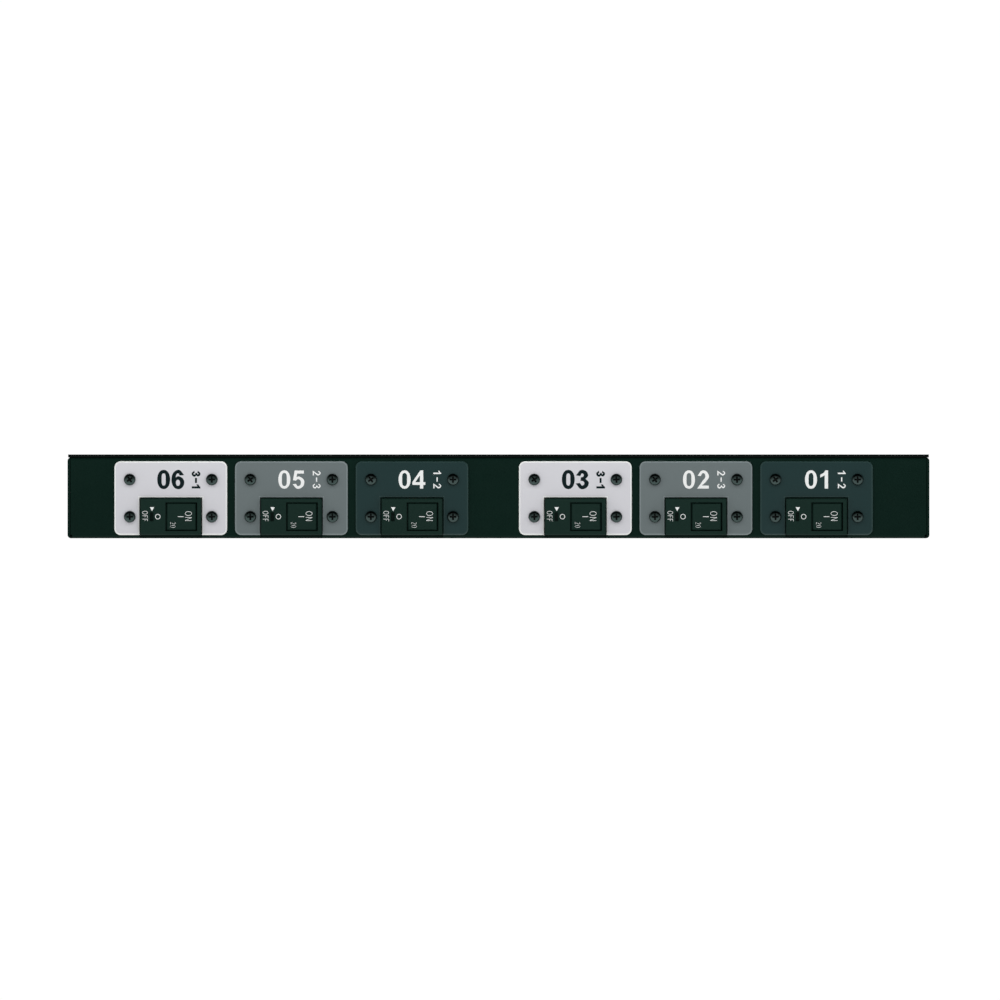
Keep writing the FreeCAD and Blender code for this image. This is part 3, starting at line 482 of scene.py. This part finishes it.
# %% [markdown]
# ## Printed marks
# Each plate carries a plain circuit number and the numbers of its two phases, and each switch its ON and
# OFF, the line and ring signs, a pointer and its rating. Blender's own font is thinner than such print,
# so the characters are drawn here as outlines in units of their height. A point with a third value is
# rounded, and a contour inside another is a hole.

# %% The characters
ROUND = 1


def oval(x, y, across, up):
    """A contour of four rounded points."""
    return [(x + across, y, ROUND), (x, y + up, ROUND), (x - across, y, ROUND), (x, y - up, ROUND)]


def block(left, right, low, high):
    return [(left, low), (right, low), (right, high), (left, high)]


CHARACTERS = {
    "0": (0.78, [oval(0.39, 0.5, 0.335, 0.51), oval(0.39, 0.5, 0.125, 0.35)]),
    "1": (0.78, [[(0.345, 0), (0.545, 0), (0.545, 1.005), (0.385, 1.005), (0.3, 0.87), (0.105, 0.765),
                  (0.105, 0.59), (0.345, 0.72)]]),
    "2": (0.78, [[(0.04, 0), (0.7, 0), (0.7, 0.18), (0.33, 0.18), (0.54, 0.38, ROUND),
                  (0.7, 0.71, ROUND), (0.38, 1.01, ROUND), (0.06, 0.7), (0.26, 0.68),
                  (0.375, 0.84, ROUND), (0.495, 0.7, ROUND), (0.34, 0.43, ROUND)]]),
    "3": (0.78, [[(0.05, 0.735), (0.36, 1.01, ROUND), (0.67, 0.75, ROUND), (0.53, 0.53),
                  (0.71, 0.29, ROUND), (0.36, -0.015, ROUND), (0.04, 0.27), (0.235, 0.295),
                  (0.37, 0.155, ROUND), (0.5, 0.3, ROUND), (0.36, 0.44, ROUND), (0.29, 0.435),
                  (0.305, 0.6), (0.36, 0.605, ROUND), (0.465, 0.72, ROUND), (0.365, 0.845, ROUND),
                  (0.245, 0.7)]]),
    "4": (0.78, [[(0.435, 0), (0.63, 0), (0.63, 0.2), (0.745, 0.2), (0.745, 0.365), (0.63, 0.365),
                  (0.63, 1), (0.46, 1), (0.025, 0.37), (0.025, 0.2), (0.435, 0.2)],
                 [(0.435, 0.365), (0.435, 0.7), (0.205, 0.365)]]),
    "5": (0.78, [[(0.68, 0.995), (0.165, 0.995), (0.07, 0.455), (0.24, 0.43), (0.37, 0.51, ROUND),
                  (0.505, 0.335, ROUND), (0.365, 0.145, ROUND), (0.24, 0.275), (0.04, 0.25),
                  (0.365, -0.015, ROUND), (0.71, 0.345, ROUND), (0.415, 0.67, ROUND), (0.28, 0.64),
                  (0.315, 0.815), (0.68, 0.815)]]),
    "6": (0.78, [[(0.695, 0.75), (0.395, 1.01, ROUND), (0.045, 0.49, ROUND), (0.385, -0.015, ROUND),
                  (0.715, 0.335, ROUND), (0.42, 0.66, ROUND), (0.245, 0.575), (0.285, 0.77, ROUND),
                  (0.395, 0.85, ROUND), (0.49, 0.735)], oval(0.385, 0.32, 0.13, 0.185)]),
    "-": (0.84, [block(0.14, 0.7, 0.4, 0.58)]),
    "O": (1.09, [oval(0.543, 0.5, 0.485, 0.515), oval(0.543, 0.5, 0.27, 0.34)]),
    "N": (1.01, [[(0.1, 0), (0.3, 0), (0.3, 0.65), (0.7, 0), (0.91, 0), (0.91, 1), (0.71, 1),
                  (0.71, 0.33), (0.3, 1), (0.1, 1)]]),
    "F": (0.85, [[(0.1, 0), (0.31, 0), (0.31, 0.425), (0.7, 0.425), (0.7, 0.595), (0.31, 0.595),
                  (0.31, 0.83), (0.8, 0.83), (0.8, 1), (0.1, 1)]]),
    "line": (1.0, [block(0.0, 0.22, 0.0, 1.0)]),
    "ring": (1.0, [oval(0.5, 0.5, 0.5, 0.5), oval(0.5, 0.5, 0.29, 0.29)]),
    "pointer": (1.0, [[(0.5, 0.0), (1.05, 1.0), (-0.05, 1.0)]]),
}
print("characters", len(CHARACTERS))

# %% A word as a thin mesh, centred on its own middle
INK = 0.012 * MM
CURVE_STEPS = 6


def add_contour(curve, contour, shift):
    line = curve.splines.new("BEZIER")
    line.bezier_points.add(len(contour) - 1)
    line.use_cyclic_u = True
    for knot, (x, y, *rounded) in zip(line.bezier_points, contour):
        knot.co = (x + shift, y, 0)
        knot.handle_left_type = knot.handle_right_type = "AUTO" if rounded else "VECTOR"


def word_mesh(characters, height, squeeze=1.0, thinner=0.0):
    """The characters in a row, height in millimetres, with squeezed widths and thinned strokes."""
    curve = bpy.data.curves.new("word", "CURVE")
    curve.dimensions = "2D"
    curve.fill_mode = "BOTH"
    curve.resolution_u = CURVE_STEPS
    curve.offset = -thinner
    shift = 0.0
    for character in characters:
        advance, contours = CHARACTERS[character]
        for contour in contours:
            add_contour(curve, contour, shift)
        shift += advance
    drawn = bpy.data.objects.new("word", curve)
    mesh = bpy.data.meshes.new_from_object(drawn)
    bpy.data.objects.remove(drawn)
    corners = [corner.co for corner in mesh.vertices]
    middle = [(min(co[i] for co in corners) + max(co[i] for co in corners)) / 2 for i in (0, 1)]
    size = Matrix.Diagonal((height * squeeze * MM, height * MM, 1, 1))
    mesh.transform(size @ Matrix.Translation((-middle[0], -middle[1], 0)))
    return mesh


def printed(name, marks, face, material, body, slot):
    """Marks on a face that looks to the front; each mark is a mesh, its middle and its turn."""
    shape = bmesh.new()
    for mesh, x, z, turn in marks:
        mesh.transform(Matrix.Translation((x, face, z)) @ FACING @ turn)
        shape.from_mesh(mesh)
    flat = bmesh.ops.extrude_face_region(shape, geom=shape.faces)
    moved = [item for item in flat["geom"] if isinstance(item, bmesh.types.BMVert)]
    bmesh.ops.translate(shape, verts=moved, vec=(0, -INK, 0))
    return finished(name, shape, [material], body, slot)


# %% The plates' numbers
UPRIGHT = Matrix.Identity(4)
DOWNWARDS = Matrix.Rotation(-math.pi / 2, 4, "Z")
PHASES = {1: "1-2", 2: "2-3", 3: "3-1", 4: "1-2", 5: "2-3", 6: "3-1"}
NUMBER_HEIGHT = 9.4
NUMBER_THINNER = {"dark": -0.016, "light": 0.008}
PHASE_HEIGHT = 4.1
PHASE_THINNER = {"dark": -0.035, "light": 0.015}
PHASE_OFFSET = 12.9 * MM
for n in BREAKERS:
    plate_slot = slot_of[f"branch_plate_{n}"]
    ink = "dark" if plate_slot == "plate_white" else "light"
    number = word_mesh(f"0{n}", NUMBER_HEIGHT, thinner=NUMBER_THINNER[ink])
    phases = word_mesh(PHASES[n], PHASE_HEIGHT, thinner=PHASE_THINNER[ink])
    marks = [(number, centres[n], upper_level, UPRIGHT),
             (phases, centres[n] + PHASE_OFFSET, upper_level, DOWNWARDS)]
    printed(f"plate_print_{n}", marks, plate_front, INKS[ink], "case", plate_slot)
print("plate prints", len(PHASES))

# %% The switches' marks
# text, height, squeeze, thinning, place along X from the breaker's middle, height of its middle, turn
BEZEL_MARKS = [("OFF", 3.1, 0.66, 0.054, -13.15, 11.32, DOWNWARDS),
               (["pointer"], 2.0, 1.0, 0.0, -9.55, 14.88, UPRIGHT),
               (["ring"], 3.05, 1.0, 0.055, -6.6, 11.05, UPRIGHT)]
ROCKER_MARKS = [(["line"], 2.95, 0.5, 0.0, 5.08, 11.05, DOWNWARDS),
                ("ON", 3.8, 0.7, 0.06, 9.03, 11.35, DOWNWARDS),
                ("20", 2.95, 0.74, 0.062, 1.1, 6.85, DOWNWARDS)]
for n in BREAKERS:
    pole, rocker = f"breaker_{n}_rocker_pole", f"rocker_{n}"
    for name, rows, carrier, body in (("bezel", BEZEL_MARKS, pole, "case"),
                                      ("rocker", ROCKER_MARKS, rocker, rocker)):
        marks = [(word_mesh(text, height, squeeze, thinner), centres[n] + x * MM, z * MM, turn)
                 for text, height, squeeze, thinner, x, z, turn in rows]
        printed(f"{name}_print_{n}", marks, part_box(carrier)[0].y, INKS["light"], body, slot_of[carrier])
print("switch prints", 2 * len(BREAKERS))

# %% [markdown]
# ## Studio
# The light on the plates comes from above and in front, and fades a little towards the floor, so a long
# strip lamp hangs close by. The screw heads tell more: they are dark at the top and bright at the bottom,
# so what shines back from metal is a bright floor under a dark ceiling. The floor therefore has one
# strength for light and another for reflections, the background darkens upwards, and the strip doesn't
# show in reflections. A second lamp lights the cover and the rear from so far back that the lid keeps it
# off the plates. To the camera the floor and the background are plain white.

# %% Floor and background
SEEN = 1.02
FLOOR_LIGHT = 0.8
FLOOR_MIRRORED = 1.5
HORIZON = 0.75
CEILING = 0.0
CEILING_RISE = 0.55
scene = bpy.context.scene
scene.view_settings.view_transform = "Standard"


def shine(tree, kind, light, output):
    """Ends a tree in a plain white light, with a strength of its own for the camera."""
    path = tree.nodes.new("ShaderNodeLightPath")
    shader = tree.nodes.new(kind)
    shader.inputs["Color"].default_value = (1, 1, 1, 1)
    extra = math_node(tree, "SUBTRACT", SEEN, light)
    shown = math_node(tree, "MULTIPLY", path.outputs["Is Camera Ray"], extra)
    tree.links.new(math_node(tree, "ADD", shown, light), shader.inputs["Strength"])
    tree.links.new(shader.outputs[0], output.inputs["Surface"])


def room():
    world = bpy.data.worlds.new("studio")
    world.use_nodes = True
    tree = world.node_tree
    direction = tree.nodes.new("ShaderNodeTexCoord")
    parts = tree.nodes.new("ShaderNodeSeparateXYZ")
    fade = tree.nodes.new("ShaderNodeMapRange")
    for label, value in (("From Max", CEILING_RISE), ("To Min", HORIZON), ("To Max", CEILING)):
        fade.inputs[label].default_value = value
    tree.links.new(direction.outputs["Generated"], parts.inputs["Vector"])
    tree.links.new(parts.outputs["Z"], fade.inputs["Value"])
    shine(tree, "ShaderNodeBackground", fade.outputs["Result"], tree.nodes["World Output"])
    return world


def floor_paint():
    paint = bpy.data.materials.new("white floor")
    paint.use_nodes = True
    tree = paint.node_tree
    path = tree.nodes.new("ShaderNodeLightPath")
    gain = math_node(tree, "MULTIPLY", path.outputs["Is Glossy Ray"], FLOOR_MIRRORED - FLOOR_LIGHT)
    light = math_node(tree, "ADD", gain, FLOOR_LIGHT)
    shine(tree, "ShaderNodeEmission", light, tree.nodes["Material Output"])
    return paint


scene.world = room()
FLOOR_HALF = 6.0
FLOOR_DROP = 0.1 * MM
floor_shape = bmesh.new()
bmesh.ops.create_grid(floor_shape, x_segments=1, y_segments=1, size=FLOOR_HALF,
                      matrix=Matrix.Translation((0, 0, -FLOOR_DROP)))
floor_mesh = bpy.data.meshes.new("floor")
floor_shape.to_mesh(floor_mesh)
floor_shape.free()
floor_mesh.materials.append(floor_paint())
floor = bpy.data.objects.new("floor", floor_mesh)
scene.collection.objects.link(floor)
print("floor", 2 * FLOOR_HALF, "m across")

# %% Lamps
# name, place, what it points at, length and width, power, whether it shows in reflections
PLATES = Vector((0, -0.09, 0.02))
COVER = Vector((0, 0, 0.04))
LAMPS = [("front_strip", (0, -0.24, 0.2), PLATES, (1.2, 0.12), 1.0, False),
         ("top_lamp", (0.1, 0.5, 1.3), COVER, (1.6, 0.2), 45.0, True)]
for lamp_name, spot, aim, (length, width), power, mirrored in LAMPS:
    lamp_data = bpy.data.lights.new(lamp_name, "AREA")
    lamp_data.shape = "RECTANGLE"
    lamp_data.size = length
    lamp_data.size_y = width
    lamp_data.energy = power
    lamp = bpy.data.objects.new(lamp_name, lamp_data)
    lamp.location = spot
    lamp.rotation_euler = (aim - Vector(spot)).to_track_quat("-Z", "Y").to_euler()
    lamp.visible_camera = False
    lamp.visible_glossy = mirrored
    scene.collection.objects.link(lamp)
print("lamps", [row[0] for row in LAMPS])

# %% [markdown]
# ## Camera
# The view is square on to the breakers, level with the middle of the picture, and almost without
# perspective, so a long lens looks at the plates from twelve metres away.

# %% A long lens square on to the plates
PICTURE_WIDTH = 510.47 * MM
PICTURE_MIDDLE = Vector((0.78, -90.0, 19.55)) * MM
DISTANCE = 12.0
SENSOR = 36.0
camera_data = bpy.data.cameras.new("camera")
camera_data.sensor_width = SENSOR
camera_data.lens = SENSOR * DISTANCE / PICTURE_WIDTH
camera = bpy.data.objects.new("camera", camera_data)
camera.location = PICTURE_MIDDLE - Vector((0, DISTANCE, 0))
camera.rotation_euler = (math.pi / 2, 0, 0)
scene.collection.objects.link(camera)
scene.camera = camera
print("lens", round(camera_data.lens, 1))
